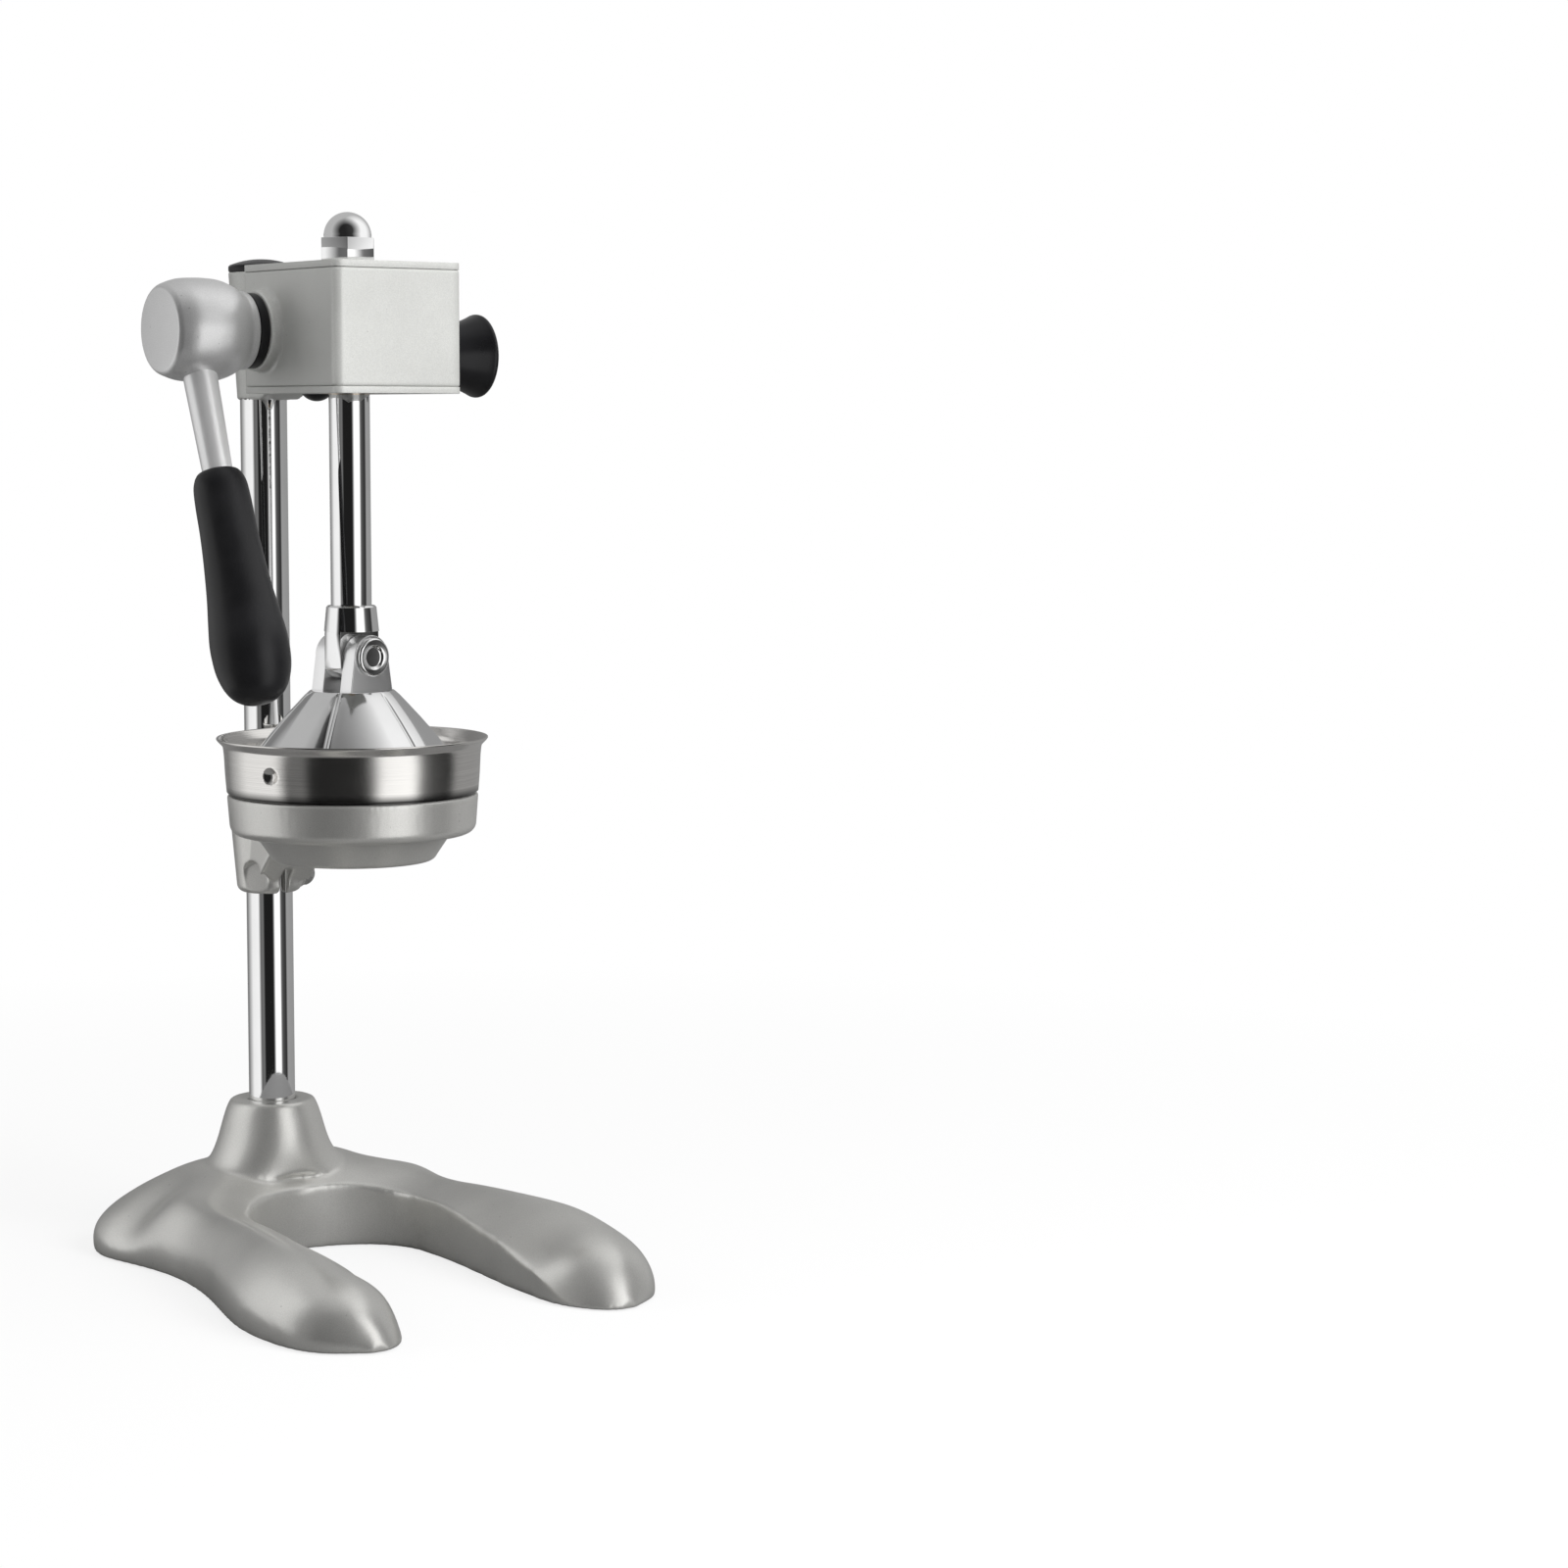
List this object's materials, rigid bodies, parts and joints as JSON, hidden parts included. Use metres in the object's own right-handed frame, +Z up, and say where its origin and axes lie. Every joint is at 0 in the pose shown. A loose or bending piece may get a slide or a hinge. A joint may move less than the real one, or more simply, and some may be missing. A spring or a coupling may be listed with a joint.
{
  "type": "lever citrus juice press",
  "caption": "Hand lever citrus press: horseshoe base, column, geared plunger with a press cone, strainer cone in a steel bowl, black grip.",
  "frame": {"origin": "on the resting plane, under the plunger and bowl axis, at the middle of the footprint", "axes": "+Z up along the column and plunger, -Y towards the open end of the horseshoe base, lever on the -X side"},
  "size_m": [0.1966, 0.2708, 0.4997],
  "materials": {
    "black_plastic": "matte moulded",
    "bowl_steel": "circularly brushed stainless steel",
    "bronze": "turned",
    "cast_paint": "satin silver-grey enamel on a casting",
    "column_chrome": "polished chrome plating",
    "cone_chrome": "polished chrome plating",
    "foot_rubber": "matte moulded",
    "gear_steel": "cut and oiled",
    "grip_black": "matte moulded",
    "housing_paint": "satin light grey enamel",
    "lever_chrome": "polished chrome plating",
    "plunger_chrome": "polished chrome plating",
    "satin_metal": "satin turned aluminium",
    "steel": "zinc plated"
  },
  "bodies": {
    "stand": {"base": "cast_paint", "rubber_feet": "foot_rubber", "column": "column_chrome", "column_plug": "steel", "column_washer": "steel", "column_bolt": "steel", "column_cap": "black_plastic", "gear_housing": "housing_paint", "housing_top_cover": "housing_paint", "housing_bottom_cover": "housing_paint", "guide_bush_upper": "bronze", "guide_bush_lower": "bronze", "cover_screws": "steel", "bottom_plug": "black_plastic", "shaft_bush_left": "bronze", "shaft_bush_right": "bronze", "hub_washer": "black_plastic", "bowl_bracket": "cast_paint", "bracket_screw": "steel", "sleeve_screws": "steel"},
    "lever": {"pinion_shaft": "steel", "pinion_pin": "steel", "pinion": "gear_steel", "hub": "satin_metal", "lever_rod": "lever_chrome", "grip": "grip_black", "hub_screw": "steel"},
    "plunger": {"plunger": "plunger_chrome", "dome_nut": "plunger_chrome", "plunger_socket": "plunger_chrome", "pivot_pin": "steel", "pivot_clip": "steel"},
    "cone": {"press_cone": "cone_chrome"},
    "bowl": {"juice_bowl": "bowl_steel", "strainer_cone": "bowl_steel"},
    "pad": {"lock_pad": "bronze"},
    "knob": {"lock_screw": "steel", "lock_knob": "black_plastic"}
  },
  "joints": [
    {"name": "lever_turn", "type": "hinge", "parent": "stand", "child": "lever", "pos_m": [0, 0.0206, 0.4449], "axis": [-1, 0, 0], "range_deg": [0, 230]},
    {"name": "plunger_slide", "type": "slide", "parent": "stand", "child": "plunger", "axis": [0, 0, 1], "range_m": [0, 0.0565]},
    {"name": "cone_tilt", "type": "hinge", "parent": "plunger", "child": "cone", "pos_m": [0, 0, 0.2943], "axis": [0.1908, -0.9816, 0], "range_deg": [-3, 3]},
    {"name": "bowl_turn", "type": "hinge", "parent": "stand", "child": "bowl", "pos_m": [0, 0, 0.23], "axis": [0, 0, 1], "continuous": true},
    {"name": "pad_slide", "type": "slide", "parent": "stand", "child": "pad", "axis": [-1, 0, 0], "range_m": [0, 0.00125]},
    {"name": "knob_turn", "type": "hinge", "parent": "pad", "child": "knob", "pos_m": [0, 0, 0.4344], "axis": [-1, 0, 0], "range_deg": [0, 360]}
  ],
  "couplings": [
    {"joint": "plunger_slide", "follows": "lever_turn", "m_per_rad": 0.014},
    {"joint": "knob_turn", "follows": "pad_slide", "rad_per_m": 5026.5}
  ]
}
